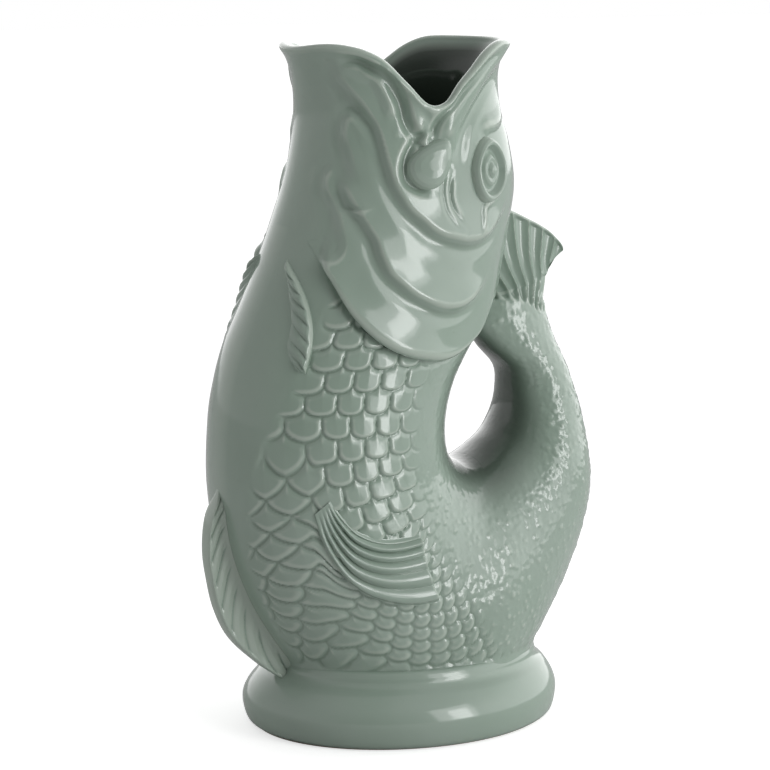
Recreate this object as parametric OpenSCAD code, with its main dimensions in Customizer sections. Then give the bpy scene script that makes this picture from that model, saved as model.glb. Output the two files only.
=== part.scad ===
// Gurgle jug: a standing fish whose tail curls up behind it to make the handle.
// Millimetres. The origin is the centre of the foot's underside, +Z is up.
// The belly faces -X, the tail handle is at +X, and the jug is alike on both sides of Y = 0.

/* [Jug] */
// Height from the table to the tips of the lips
jug_height = 250; // [210:5:290]
// Length from the front of the belly to the back of the tail
fish_length = 150; // [130:5:170]
// Width of the belly from side to side
belly_width = 84; // [74:2:96]
// Thickness of the earthenware wall
wall = 5; // [4:0.5:6]

/* [Mouth] */
// Depth of the notch between the two jaws
mouth_notch = 21.5; // [16:0.5:28]
// How far the front lip's tip droops below its shoulders
lip_droop = 1.5; // [0:0.5:5]
// How far the lips flare out at the rim
lip_flare = 4.5; // [2:0.5:7]
// Depth below the rim over which the lips flare
lip_depth = 7; // [5:0.5:12]
// Thickness of the lip, thinner than the wall
lip_wall = 3.8; // [3:0.2:5]
// Height of the rounded top of the lip
lip_round = 1.4; // [0.8:0.2:2]

/* [Foot] */
// Height of the foot, where the fish stands on it
foot_height = 24; // [18:1:30]
// How far the foot spreads beyond the fish at the front and back
foot_spread_long = 11; // [8:1:16]
// How far the foot spreads beyond the fish at each side
foot_spread_side = 10; // [7:1:14]
// Inset of the foot's rounded under edge
foot_edge = 4.5; // [2:0.5:6]
// Thickness of the jug's floor, whose flat underside rests on the table
foot_floor = 6; // [4:0.5:8]

/* [Fins] */
// Height of the side fins' free edges above the skin
side_fin_relief = 3; // [2:0.25:4]
// Height of the ribs on the fins
rib_relief = 0.9; // [0.4:0.1:1.4]
// How far the belly fin stands out from the belly
belly_fin_height = 12; // [8:0.5:15]
// Thickness of the belly fin along its root
belly_fin_root = 11; // [7:0.5:13]
// Thickness of the belly fin along its edge
belly_fin_edge = 4; // [3:0.5:5]
// Thickness of the tail fin along its edge
tail_fin_edge = 5; // [4:0.5:7]

/* [Face] */
// Height of the gill bands' lower edges above the skin
gill_relief = 2.6; // [1:0.2:3]
// Width of the raised ring round the eye
eye_width = 19; // [15:0.5:22]
// Height of the raised ring round the eye
eye_length = 23; // [18:0.5:27]
// Height of the eye's ring above the skin
eye_relief = 1.8; // [1:0.2:2.6]
// Width of the drop shaped knob at the corner of the mouth
corner_width = 13; // [9:0.5:14]
// Length of that knob
corner_length = 21; // [15:0.5:22]
// Height of that knob above the skin
corner_relief = 4; // [2:0.5:5]

/* [Detail] */
// Points round each section of the fish
around = 48; // [36:4:60]

/* [Hidden] */

glaze = [0.62, 0.70, 0.63];
// Height of the fish above its foot
rise = jug_height - foot_height;
// Depth that each applied piece is carried into the skin before it is cut to it
bury = wall / 2;

// The fish is one sweep. A station is a section of it: a flat ellipse between an inner point,
// on the back of the fish, and an outer point, on its front, with a half width in Y.
// The trunk's stations are level and evenly spaced, from above the mouth down to the finger gap.
trunk_top_share = 1.018;
trunk_step_share = 0.062;
// Back, front and half width of each trunk station, as shares of fish_length and belly_width
trunk_shares = [
  [0.253, -0.280, 0.369],
  [0.240, -0.273, 0.375],
  [0.247, -0.267, 0.393],
  [0.273, -0.277, 0.417],
  [0.287, -0.300, 0.435],
  [0.273, -0.333, 0.446],
  [0.253, -0.370, 0.458],
  [0.230, -0.413, 0.470],
  [0.170, -0.457, 0.476],
  [0.113, -0.483, 0.482],
  [0.087, -0.497, 0.488]
];
// The bend's stations fan round under the finger gap and climb up the tail.
// Inner X and Z, outer X and Z and half width, X as shares of fish_length, Z of the rise
bend_shares = [
  [0.090, 0.350, -0.500, 0.292, 0.494],
  [0.113, 0.323, -0.470, 0.181, 0.500],
  [0.143, 0.312, -0.380, 0.062, 0.500],
  [0.173, 0.312, -0.187, -0.088, 0.500],
  [0.207, 0.321, 0.053, -0.150, 0.500],
  [0.240, 0.336, 0.233, -0.084, 0.446],
  [0.277, 0.358, 0.420, 0.080, 0.369],
  [0.297, 0.387, 0.513, 0.226, 0.310],
  [0.300, 0.420, 0.513, 0.341, 0.244],
  [0.287, 0.456, 0.477, 0.438, 0.196],
  [0.227, 0.496, 0.430, 0.513, 0.161],
  [0.187, 0.540, 0.410, 0.566, 0.131],
  [0.227, 0.584, 0.413, 0.606, 0.113]
];
trunk_top = foot_height + trunk_top_share * rise;
trunk_step = trunk_step_share * rise;
last_trunk = len(trunk_shares) - 1;
stations = concat(
  [for (i = [0:last_trunk]) let (row = trunk_shares[i], level = trunk_top - i * trunk_step)
    [row[0] * fish_length, level, row[1] * fish_length, level, row[2] * belly_width]],
  [for (row = bend_shares)
    [row[0] * fish_length, foot_height + row[1] * rise,
     row[2] * fish_length, foot_height + row[3] * rise, row[4] * belly_width]]
);
last_station = len(stations) - 1;
// Where the tail handle leaves the body and where its hollow ends, as shares of the whole sweep
tail_root_share = 0.761;
tail_bore_share = 0.935;
tail_root = tail_root_share * last_station;
tail_bore_end = tail_bore_share * last_station;
tail_tip = last_station;

// Height of the gill cover's lower edge, at even steps of angle from the front to the back
gill_shares = [0.717, 0.705, 0.650, 0.580, 0.535, 0.512, 0.508, 0.549, 0.590, 0.597];

function mix(a, b, t) = a + (b - a) * t;
function smooth(t) = t * t * (3 - 2 * t);
function clamp(t) = max(0, min(1, t));
function fold(a) = a > 180 ? 360 - a : a;
function pick(list, i) = list[max(0, min(len(list) - 1, i))];

// Smooth curve through the points of a list, at place u along it
function spline(list, u) =
  let (
    i = max(0, min(len(list) - 2, floor(u))),
    t = u - i,
    a = pick(list, i - 1),
    b = pick(list, i),
    c = pick(list, i + 1),
    d = pick(list, i + 2)
  )
  (2 * b + (c - a) * t + (2 * a - 5 * b + 4 * c - d) * t * t + (3 * b - a - 3 * c + d) * t * t * t) / 2;

// Point on the fish at a station s and an angle a, which runs from the front round the left side.
// proud is its height above the skin, and a negative height lies inside
function skin(s, a, proud = 0) =
  let (
    q = spline(stations, s),
    span = [q[2] - q[0], q[3] - q[1]],
    reach = norm(span),
    along = (reach / 2 + proud) * cos(a) / reach
  )
  [
    (q[0] + q[2]) / 2 + span[0] * along,
    -(q[4] + proud) * sin(a),
    (q[1] + q[3]) / 2 + span[1] * along
  ];

function trunk_station(level) = (trunk_top - level) / trunk_step;

// Depth of the notch between the two jaws, at even steps of angle from the front to the back
notch_shares = [
  0, 0, 0, 0.01, 0.04, 0.115, 0.285, 0.63, 0.985, 0.955, 0.655, 0.41, 0.165, 0.03, 0, 0, 0, 0, 0
];
droop_angle = 36;
// Height of the rim
function rim(a) =
  let (
    f = fold(a),
    notch = max(0, spline(notch_shares, f / 10)),
    droop = f < droop_angle ? pow(cos(90 * f / droop_angle), 2) : 0
  )
  jug_height - mouth_notch * notch - lip_droop * droop;

function gill(a) = foot_height + rise * spline(gill_shares, fold(a) / 20);

// The gill cover is three bands that overlap like boards, each standing proud at its lower edge.
// Rows up the bands: height in bands above the gill edge, and share of the relief
gill_rows_shares = [
  [0, 1], [0.25, 0.75], [0.65, 0.35], [0.94, 0.12],
  [1, 1], [1.3, 0.7], [1.75, 0.3], [2.19, 0.12],
  [2.25, 0.9], [2.45, 0.5], [2.7, 0.15], [2.9, 0]
];
top_band = gill_rows_shares[len(gill_rows_shares) - 1][0];
gill_first_angle = 22;
gill_last_angle = 140;
gill_fade_angle = 16;
gill_band_share = 0.32;
gill_taper_share = 0.27;
function band_height(a) = (rim(a) - gill(a)) * (gill_band_share - gill_taper_share * fold(a) / 180);
function band_level(a, bands) = gill(a) + bands * band_height(a);
function band_fade(a) =
  smooth(clamp((fold(a) - gill_first_angle) / gill_fade_angle))
  * smooth(clamp((gill_last_angle - fold(a)) / gill_fade_angle));

// How much of the lip's flare is left at a depth below the rim
function flare(depth) = exp(-pow(max(0, depth) / lip_depth, 1.3));

// Point on the head or the trunk at a level, with the lip's flare
function head_skin(a, level, proud = 0) =
  let (p = skin(trunk_station(level), a, proud + lip_flare * flare(rim(a) - level))) [p[0], p[1], level];

// Point on the inside of the head, where the wall thins towards the lip
function head_bore(a, level) = head_skin(a, level, -mix(wall, lip_wall, flare(rim(a) - level)));

function turn(j) = 360 * j / around;
function ring_at(s, proud) = [for (j = [0:around - 1]) skin(s, turn(j), proud)];
function gill_ring(t, proud) =
  [for (j = [0:around - 1]) let (a = turn(j))
    skin(trunk_station(mix(trunk_top - last_trunk * trunk_step, gill(a), t)), a, proud)];
function head_ring(t) = [for (j = [0:around - 1]) let (a = turn(j))
  head_skin(a, mix(band_level(a, top_band), rim(a) - lip_round, t))];
function band_ring(row) = [for (j = [0:around - 1]) let (a = turn(j))
  head_skin(a, band_level(a, row[0]), gill_relief * row[1] * band_fade(a))];
function bore_ring(t) = [for (j = [0:around - 1]) let (a = turn(j))
  head_bore(a, mix(gill(a), rim(a) - lip_round, t))];
function crest_ring() = [for (j = [0:around - 1]) let (a = turn(j), level = rim(a))
  (head_skin(a, level) + head_bore(a, level)) / 2];

// Rows of the outer skin, from the tail root round the bend, and up the trunk to the gill edge
bend_rows = 18;
trunk_rows = 6;
head_rows = 8;
bore_rows = 7;
function bend_rings(rows, proud) =
  [for (i = [0:rows - 1]) ring_at(mix(tail_root, last_trunk, i / rows), proud)];
function trunk_rings(rows, proud) = [for (i = [0:rows]) gill_ring(i / rows, proud)];
function head_rings(rows) = concat(
  [for (row = gill_rows_shares) band_ring(row)],
  [for (i = [1:rows]) head_ring(1 - pow(1 - i / rows, 1.4))]
);
function bore_rings(rows) = [for (i = [0:rows]) bore_ring(1 - pow(1 - i / rows, 1.4))];
function reversed(list) = [for (i = [len(list) - 1:-1:0]) list[i]];

function flat_list(rings) = [for (ring = rings) for (p = ring) p];
function band_faces(rows, n) =
  [for (i = [0:rows - 1]) for (j = [0:n - 1])
    let (a = i * n + j, b = i * n + (j + 1) % n, c = ((i + 1) * n + j), d = ((i + 1) * n + (j + 1) % n))
    for (face = [[a, c, d], [a, d, b]]) face];

// A wall that closes on itself: every ring joins the next, and the last one joins the first
module closed_wall(rings) {
  n = len(rings[0]);
  count = len(rings) * n;
  polyhedron(
    points = flat_list(rings),
    faces = [for (face = band_faces(len(rings), n)) [for (k = face) k % count]],
    convexity = 10
  );
}

// A solid skin over a row of rings, closed at both ends
module capped_skin(rings) {
  n = len(rings[0]);
  last = len(rings) - 1;
  start = (last + 1) * n;
  polyhedron(
    points = concat(flat_list(rings), [average(rings[0]), average(rings[last])]),
    faces = concat(
      band_faces(last, n),
      [for (j = [0:n - 1]) [start, j, (j + 1) % n]],
      [for (j = [0:n - 1]) [start + 1, last * n + (j + 1) % n, last * n + j]]
    ),
    convexity = 10
  );
}
function total(list, i = 0) = i == len(list) - 1 ? list[i] : list[i] + total(list, i + 1);
function average(ring) = total(ring) / len(ring);

// The outside of the fish from the tail root to the rim, as one solid that other pieces are cut to
module fish_core() {
  capped_skin(concat(bend_rings(bend_rows, 0), trunk_rings(trunk_rows, 0), head_rings(head_rows)));
}

// The trunk and the head alone, which the tail comes round to touch
module trunk_core() {
  capped_skin(concat(trunk_rings(trunk_rows, 0), head_rings(head_rows)));
}

// A piece made in one mesh: its first child less all the others
module cut_to() {
  resize([0, 0, 0]) difference() {
    children(0);
    children([1:1:$children - 1]);
  }
}

module body() {
  color(glaze) cut_to() {
    closed_wall(concat(
      bend_rings(bend_rows, 0),
      trunk_rings(trunk_rows, 0),
      reversed(trunk_rings(trunk_rows / 2, -wall)),
      reversed(bend_rings(bend_rows * 2 / 3, -wall))
    ));
    below_foot_top();
  }
}

// Everything below the level at which the fish stands on its foot
module below_foot_top() {
  depth = foot_height + rise;
  translate([-fish_length, -belly_width, foot_height - depth])
    cube([2 * fish_length, 2 * belly_width, depth]);
}

module head() {
  color(glaze) closed_wall(concat(
    head_rings(head_rows),
    [crest_ring()],
    reversed(bore_rings(bore_rows))
  ));
}

tail_rows = 12;
module tail_handle() {
  hollow_rows = 8;
  color(glaze) cut_to() {
    capped_skin(concat(
      [for (i = [0:tail_rows]) ring_at(mix(tail_tip, tail_root, i / tail_rows), 0)],
      [for (i = [0:hollow_rows]) ring_at(mix(tail_root, tail_bore_end, i / hollow_rows), -wall)]
    ));
    trunk_core();
  }
}

// The foot's sections are ellipses that follow the fish where it stands on the foot
neck_length_share = 0.330;
neck_width_share = 0.494;
neck_shift_share = 0.013;
neck_long = neck_length_share * fish_length;
neck_side = neck_width_share * belly_width;
neck_shift = neck_shift_share * fish_length;
// Outline from the under edge to the neck: share of the spread and share of the foot's height
foot_outline_shares = [[0.87, 0.10], [1.00, 0.38], [0.88, 0.58], [0.52, 0.78], [0.16, 0.90], [0, 1]];
function oval(long, side, level, shift = 0) =
  [for (j = [0:around - 1]) [shift - long * cos(turn(j)), -side * sin(turn(j)), level]];
function foot_ring(spread, level) =
  oval(neck_long + spread * foot_spread_long, neck_side + spread * foot_spread_side, level,
    neck_shift * (1 - spread));
function foot_inner(inset, level) =
  oval(neck_long - inset, neck_side - inset, level, neck_shift);
foot_outline = [for (row = foot_outline_shares) foot_ring(row[0], row[1] * foot_height)];
foot_bed_long = neck_long + foot_spread_long - foot_edge;
foot_bed_side = neck_side + foot_spread_side - foot_edge;

// The foot's outside as one solid
module foot_core() {
  capped_skin(concat([oval(foot_bed_long, foot_bed_side, 0)], foot_outline));
}

// The under edge runs straight on below the table, so that one level cut leaves one flat underside
module foot() {
  seat = 2 * wall;
  first = foot_outline_shares[0];
  sunk_long = 2 * foot_bed_long - neck_long - first[0] * foot_spread_long;
  sunk_side = 2 * foot_bed_side - neck_side - first[0] * foot_spread_side;
  color(glaze) difference() {
    capped_skin(concat(
      [oval(sunk_long, sunk_side, -first[1] * foot_height, -neck_shift * (1 - first[0]))],
      foot_outline,
      [
        foot_inner(seat, foot_height),
        foot_inner(seat, (foot_height + foot_floor) / 2),
        foot_inner(2 * seat, foot_floor)
      ]
    ));
    translate([-fish_length, -belly_width, -foot_height])
      cube([2 * fish_length, 2 * belly_width, foot_height]);
  }
}

// A raised patch of skin: rows of points above the skin, each closed by its row below the skin
module patch(upper, lower) {
  capped_skin([for (i = [0:len(upper) - 1]) concat(upper[i], reversed(lower[i]))]);
}

// A rounded ripple of ribs across a fin, from 0 in a groove to 1 on a rib
function ripple(v, ribs) = abs(sin(180 * ribs * v));
// A fin's edge rises from the skin over a share of its width
function edge_rise(v, share) = smooth(clamp(min(v, 1 - v) / share));

// Each side fin spans two curves on the skin from root to tip.
// Rows: share of the whole sweep, and share of the half turn from the front to the back
pelvic_upper_shares = [[0.481, 0.358], [0.496, 0.381], [0.512, 0.414], [0.528, 0.472], [0.542, 0.556]];
pelvic_lower_shares = [[0.490, 0.311], [0.522, 0.325], [0.554, 0.353], [0.576, 0.406], [0.596, 0.489]];
pelvic_ribs = 7;
pectoral_rear_shares = [[0.246, 0.083], [0.270, 0.156], [0.300, 0.217], [0.335, 0.258], [0.365, 0.264]];
pectoral_front_shares = [[0.250, 0.078], [0.283, 0.119], [0.313, 0.158], [0.343, 0.206], [0.365, 0.250]];
pectoral_ribs = 3;
fin_edge_share = 0.12;

function fin_place(upper, lower, u, v) =
  let (at = mix(spline(upper, 4 * u), spline(lower, 4 * u), v)) [at[0] * last_station, at[1] * 180];
function fin_point(upper, lower, ribs, u, v) =
  let (
    at = fin_place(upper, lower, u, v),
    lift = side_fin_relief * (0.3 + 0.7 * smooth(u)) + rib_relief * (ripple(v, ribs) - 1)
  )
  skin(at[0], at[1], lift * edge_rise(v, fin_edge_share));
function fin_back(upper, lower, u, v) =
  let (at = fin_place(upper, lower, u, v)) skin(at[0], at[1], -bury);

module side_fin(upper, lower, ribs, rows) {
  across = 2 * ribs;
  patch(
    [for (i = [0:rows]) [for (k = [0:across]) fin_point(upper, lower, ribs, i / rows, k / across)]],
    [for (i = [0:rows]) [for (k = [0:across]) fin_back(upper, lower, i / rows, k / across)]]
  );
}

module pelvic_fin_left() {
  color(glaze) cut_to() {
    side_fin(pelvic_upper_shares, pelvic_lower_shares, pelvic_ribs, 8);
    fish_core();
  }
}

module pelvic_fin_right() {
  mirror([0, 1, 0]) pelvic_fin_left();
}

module pectoral_fin_left() {
  color(glaze) cut_to() {
    side_fin(pectoral_rear_shares, pectoral_front_shares, pectoral_ribs, 8);
    fish_core();
  }
}

module pectoral_fin_right() {
  mirror([0, 1, 0]) pectoral_fin_left();
}

// The belly fin stands on the fish's front, between two shares of the whole sweep
belly_fin_start_share = 0.474;
belly_fin_end_share = 0.591;
belly_fin_shares = [0, 0.42, 0.67, 0.83, 0.98, 1, 0.72, 0.25];
belly_fin_rows = 14;
belly_fin_across = 3;
function belly_fin_point(t, v, side) =
  let (
    s = last_station * mix(belly_fin_start_share, belly_fin_end_share, t),
    height = belly_fin_height * spline(belly_fin_shares, 7 * t),
    p = skin(s, 0, mix(-bury, height, v)),
    half = mix(belly_fin_root, belly_fin_edge, v) / 2
  )
  [p[0], side * half * (v == 1 ? 0.5 : 1), p[2]];

module belly_fin() {
  color(glaze) cut_to() {
    capped_skin([for (i = [0:belly_fin_rows]) let (t = i / belly_fin_rows) concat(
      [for (k = [0:belly_fin_across]) belly_fin_point(t, k / belly_fin_across, 1)],
      [for (k = [0:belly_fin_across]) belly_fin_point(t, 1 - k / belly_fin_across, -1)]
    )]);
    fish_core();
    foot_core();
  }
}

// The tail fin fans out from the top of the tail and leans on the back of the head.
// Its edge runs from the head to the outer corner, X as shares of fish_length, Z of the rise
tail_fin_edge_shares = [[0.280, 0.726], [0.345, 0.707], [0.415, 0.683], [0.455, 0.660], [0.467, 0.645]];
tail_fin_ribs = 8;
tail_fin_rows = 7;
function tail_fin_point(u, v, side) =
  let (
    top = spline(tail_fin_edge_shares, 4 * v),
    place = mix(0.5 - 0.5 * cos(180 * v), v, smooth(u)),
    from = mix(skin(tail_tip, 180), skin(tail_tip, 0), place),
    to = [top[0] * fish_length, 0, foot_height + top[1] * rise],
    bow = 1 - 0.25 * sin(180 * u) * v,
    p = mix(from, to, pow(u, 1 / bow)),
    root_half = abs(skin(tail_tip, 180 * (1 - v))[1]),
    edge_half = tail_fin_edge / 2 * (0.55 + 0.45 * edge_rise(v, fin_edge_share)),
    ribs = rib_relief * (ripple(v, tail_fin_ribs) - 0.5) * smooth(clamp(3 * u)),
    half = mix(root_half, edge_half, smooth(clamp(1.6 * u))) + ribs
  )
  [p[0], side * half, p[2]];

module tail_fin() {
  across = 2 * tail_fin_ribs;
  color(glaze) cut_to() {
    capped_skin([for (i = [0:tail_fin_rows]) let (u = i / tail_fin_rows) concat(
      [for (k = [0:across]) tail_fin_point(u, k / across, -1)],
      [for (k = [1:across - 1]) tail_fin_point(u, 1 - k / across, 1)]
    )]);
    fish_core();
  }
}

// A raised boss: rings round a centre on the skin, with shares of its size and of its relief
boss_points = 20;
function boss_point(station, angle, width, length, turn, reach, lift) =
  let (
    here = skin(station, angle),
    q = spline(stations, station),
    side = width / 2 * reach * cos(turn),
    up = length / 2 * reach * sin(turn),
    arc = max(1, norm([(q[2] - q[0]) / 2 * sin(angle), q[4] * cos(angle)]))
  )
  skin(station - up / trunk_step, angle + side / arc * 180 / PI, lift);

module boss(station, angle, width, length, relief, profile) {
  capped_skin(concat(
    [for (reach = [0.4, 1]) [for (k = [0:boss_points - 1])
      boss_point(station, angle, width, length, -360 * k / boss_points, reach, -bury)]],
    [for (row = profile) [for (k = [0:boss_points - 1])
      boss_point(station, angle, width, length, -360 * k / boss_points, row[0], row[1] * relief)]]
  ));
}

eye_place_share = 0.152;
eye_angle = 115;
// Ring, dish and pupil: share of the radius and share of the relief
eye_shares = [[1, 0], [0.92, 0.8], [0.8, 1], [0.68, 0.7], [0.58, 0.25], [0.5, 0.5], [0.38, 1.0], [0.2, 1.4]];
module eye_left() {
  color(glaze) cut_to() {
    boss(eye_place_share * last_station, eye_angle, eye_width, eye_length, eye_relief, eye_shares);
    fish_core();
  }
}

module eye_right() {
  mirror([0, 1, 0]) eye_left();
}

corner_place_share = 0.138;
corner_angle = 80;
corner_shares = [[1, 0], [0.93, 0.45], [0.75, 0.78], [0.5, 0.94], [0.25, 1]];
module mouth_corner_left() {
  color(glaze) cut_to() {
    boss(
      corner_place_share * last_station, corner_angle, corner_width, corner_length, corner_relief, corner_shares
    );
    fish_core();
  }
}

module mouth_corner_right() {
  mirror([0, 1, 0]) mouth_corner_left();
}

foot();
body();
head();
tail_handle();
tail_fin();
belly_fin();
pectoral_fin_left();
pectoral_fin_right();
pelvic_fin_left();
pelvic_fin_right();
eye_left();
eye_right();
mouth_corner_left();
mouth_corner_right();
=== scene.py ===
import math

import bmesh
import bpy
import numpy as np
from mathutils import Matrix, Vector


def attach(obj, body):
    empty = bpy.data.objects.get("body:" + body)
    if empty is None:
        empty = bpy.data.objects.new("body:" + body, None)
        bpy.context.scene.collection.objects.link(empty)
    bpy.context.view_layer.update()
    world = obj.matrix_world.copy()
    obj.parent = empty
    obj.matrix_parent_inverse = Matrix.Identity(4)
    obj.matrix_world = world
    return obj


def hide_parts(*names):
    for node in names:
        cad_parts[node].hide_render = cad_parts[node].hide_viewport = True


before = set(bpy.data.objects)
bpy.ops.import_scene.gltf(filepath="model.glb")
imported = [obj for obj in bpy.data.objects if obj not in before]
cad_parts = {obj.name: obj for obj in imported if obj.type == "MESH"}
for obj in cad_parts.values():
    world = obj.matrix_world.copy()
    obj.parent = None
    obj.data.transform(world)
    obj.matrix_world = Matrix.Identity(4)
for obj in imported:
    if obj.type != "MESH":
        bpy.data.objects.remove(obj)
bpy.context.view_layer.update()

# Everything below is worked out in millimetres and turned to metres when a mesh is made
MM = 0.001

# Sizes of the jug, the same as in its CAD source
JUG_HEIGHT = 250.0
FISH_LENGTH = 150.0
BELLY_WIDTH = 84.0
WALL = 5.0
MOUTH_NOTCH = 21.5
LIP_DROOP = 1.5
LIP_FLARE = 4.5
LIP_DEPTH = 7.0
LIP_WALL = 3.8
LIP_ROUND = 1.4
FOOT_HEIGHT = 24.0
FOOT_SPREAD_LONG = 11.0
FOOT_SPREAD_SIDE = 10.0
FOOT_EDGE = 4.5
FOOT_FLOOR = 6.0
SIDE_FIN_RELIEF = 3.0
RISE = JUG_HEIGHT - FOOT_HEIGHT
BURY = WALL / 2

# Sections of the fish from above the mouth down the trunk: back, front and half width in shares
TRUNK_TOP = FOOT_HEIGHT + 1.018 * RISE
TRUNK_STEP = 0.062 * RISE
TRUNK_SHARES = [
    [0.253, -0.280, 0.369], [0.240, -0.273, 0.375], [0.247, -0.267, 0.393], [0.273, -0.277, 0.417],
    [0.287, -0.300, 0.435], [0.273, -0.333, 0.446], [0.253, -0.370, 0.458], [0.230, -0.413, 0.470],
    [0.170, -0.457, 0.476], [0.113, -0.483, 0.482], [0.087, -0.497, 0.488],
]
# Sections round the bend and up the tail: inner X and Z, outer X and Z, half width
BEND_SHARES = [
    [0.090, 0.350, -0.500, 0.292, 0.494], [0.113, 0.323, -0.470, 0.181, 0.500],
    [0.143, 0.312, -0.380, 0.062, 0.500], [0.173, 0.312, -0.187, -0.088, 0.500],
    [0.207, 0.321, 0.053, -0.150, 0.500], [0.240, 0.336, 0.233, -0.084, 0.446],
    [0.277, 0.358, 0.420, 0.080, 0.369], [0.297, 0.387, 0.513, 0.226, 0.310],
    [0.300, 0.420, 0.513, 0.341, 0.244], [0.287, 0.456, 0.477, 0.438, 0.196],
    [0.227, 0.496, 0.430, 0.513, 0.161], [0.187, 0.540, 0.410, 0.566, 0.131],
    [0.227, 0.584, 0.413, 0.606, 0.113],
]
LAST_TRUNK = len(TRUNK_SHARES) - 1
LAST_STATION = LAST_TRUNK + len(BEND_SHARES)
TAIL_ROOT = 0.761 * LAST_STATION
TAIL_BORE_END = 0.935 * LAST_STATION
STATIONS = np.array(
    [[row[0] * FISH_LENGTH, TRUNK_TOP - i * TRUNK_STEP, row[1] * FISH_LENGTH,
      TRUNK_TOP - i * TRUNK_STEP, row[2] * BELLY_WIDTH] for i, row in enumerate(TRUNK_SHARES)]
    + [[row[0] * FISH_LENGTH, FOOT_HEIGHT + row[1] * RISE, row[2] * FISH_LENGTH,
        FOOT_HEIGHT + row[3] * RISE, row[4] * BELLY_WIDTH] for row in BEND_SHARES]
)
# Height of the gill cover's lower edge, every 20 degrees from the front to the back
GILL_SHARES = np.array([0.717, 0.705, 0.650, 0.580, 0.535, 0.512, 0.508, 0.549, 0.590, 0.597])
# Depth of the notch between the jaws, every 10 degrees from the front to the back
NOTCH_SHARES = np.array([
    0, 0, 0, 0.01, 0.04, 0.115, 0.285, 0.63, 0.985, 0.955, 0.655, 0.41, 0.165, 0.03, 0, 0, 0, 0, 0
])


def mix(a, b, t):
    return a + (b - a) * t


def smooth(t):
    t = np.clip(t, 0.0, 1.0)
    return t * t * (3 - 2 * t)


def rounded(t):
    """A quarter round: steep at 0, level at 1."""
    t = np.clip(t, 0.0, 1.0)
    return np.sqrt(1 - (1 - t) ** 2)


def fold(angle):
    turned = np.mod(angle, 360.0)
    return np.minimum(turned, 360.0 - turned)


def spline(table, u):
    """Smooth curve through the rows of a table, at place u along it."""
    table = np.asarray(table, float)
    u = np.asarray(u, float)
    last = len(table) - 1
    i = np.clip(np.floor(u).astype(int), 0, last - 1)
    t = u - i
    if table.ndim > 1:
        t = t[..., None]
    a, b, c, d = (table[np.clip(i + k, 0, last)] for k in (-1, 0, 1, 2))
    return (2 * b + (c - a) * t + (2 * a - 5 * b + 4 * c - d) * t ** 2 + (3 * b - a - 3 * c + d) * t ** 3) / 2


def skin(station, angle, proud=0.0):
    """Point on the fish; the angle runs from its front round its left side."""
    q = spline(STATIONS, station)
    turn = np.radians(angle)
    span_x = q[..., 2] - q[..., 0]
    span_z = q[..., 3] - q[..., 1]
    reach = np.hypot(span_x, span_z)
    along = (reach / 2 + proud) * np.cos(turn) / reach
    return np.stack([
        (q[..., 0] + q[..., 2]) / 2 + span_x * along,
        -(q[..., 4] + proud) * np.sin(turn),
        (q[..., 1] + q[..., 3]) / 2 + span_z * along,
    ], -1)


def trunk_station(level):
    return (TRUNK_TOP - level) / TRUNK_STEP


def rim(angle):
    """Height of the mouth's rim, with a notch between the jaws on each side."""
    f = fold(angle)
    notch = np.maximum(0.0, spline(NOTCH_SHARES, f / 10.0))
    droop = np.cos(np.pi / 2 * np.minimum(f, 36.0) / 36.0) ** 2
    return JUG_HEIGHT - MOUTH_NOTCH * notch - LIP_DROOP * droop


def gill(angle):
    return FOOT_HEIGHT + RISE * spline(GILL_SHARES, fold(angle) / 20.0)


def flare(depth):
    return np.exp(-(np.maximum(0.0, depth) / LIP_DEPTH) ** 1.3)


def head_skin(angle, level, proud=0.0):
    point = skin(trunk_station(level), angle, proud + LIP_FLARE * flare(rim(angle) - level))
    point[..., 2] = level
    return point


def head_bore(angle, level):
    return head_skin(angle, level, -mix(WALL, LIP_WALL, flare(rim(angle) - level)))


# Meshes
def ring_faces(rows, columns, closed=False):
    """Quads between rings of points, and from the last ring to the first where it is closed."""
    i = np.arange(rows if closed else rows - 1)[:, None]
    j = np.arange(columns)[None, :]
    nxt = (i + 1) % rows
    a = i * columns + j
    b = i * columns + (j + 1) % columns
    c = nxt * columns + (j + 1) % columns
    d = nxt * columns + j
    return np.stack([a, b, c, d], -1).reshape(-1, 4)


def cap_faces(first, columns, centre, turned):
    """A fan of triangles that closes the ring starting at a point number."""
    j = np.arange(columns)
    a = first + j
    b = first + (j + 1) % columns
    if turned:
        a, b = b, a
    return np.stack([np.full(columns, centre), a, b], -1)


def place_object(name, data):
    item = bpy.data.objects.new(name, data)
    bpy.context.scene.collection.objects.link(item)
    return item


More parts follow.
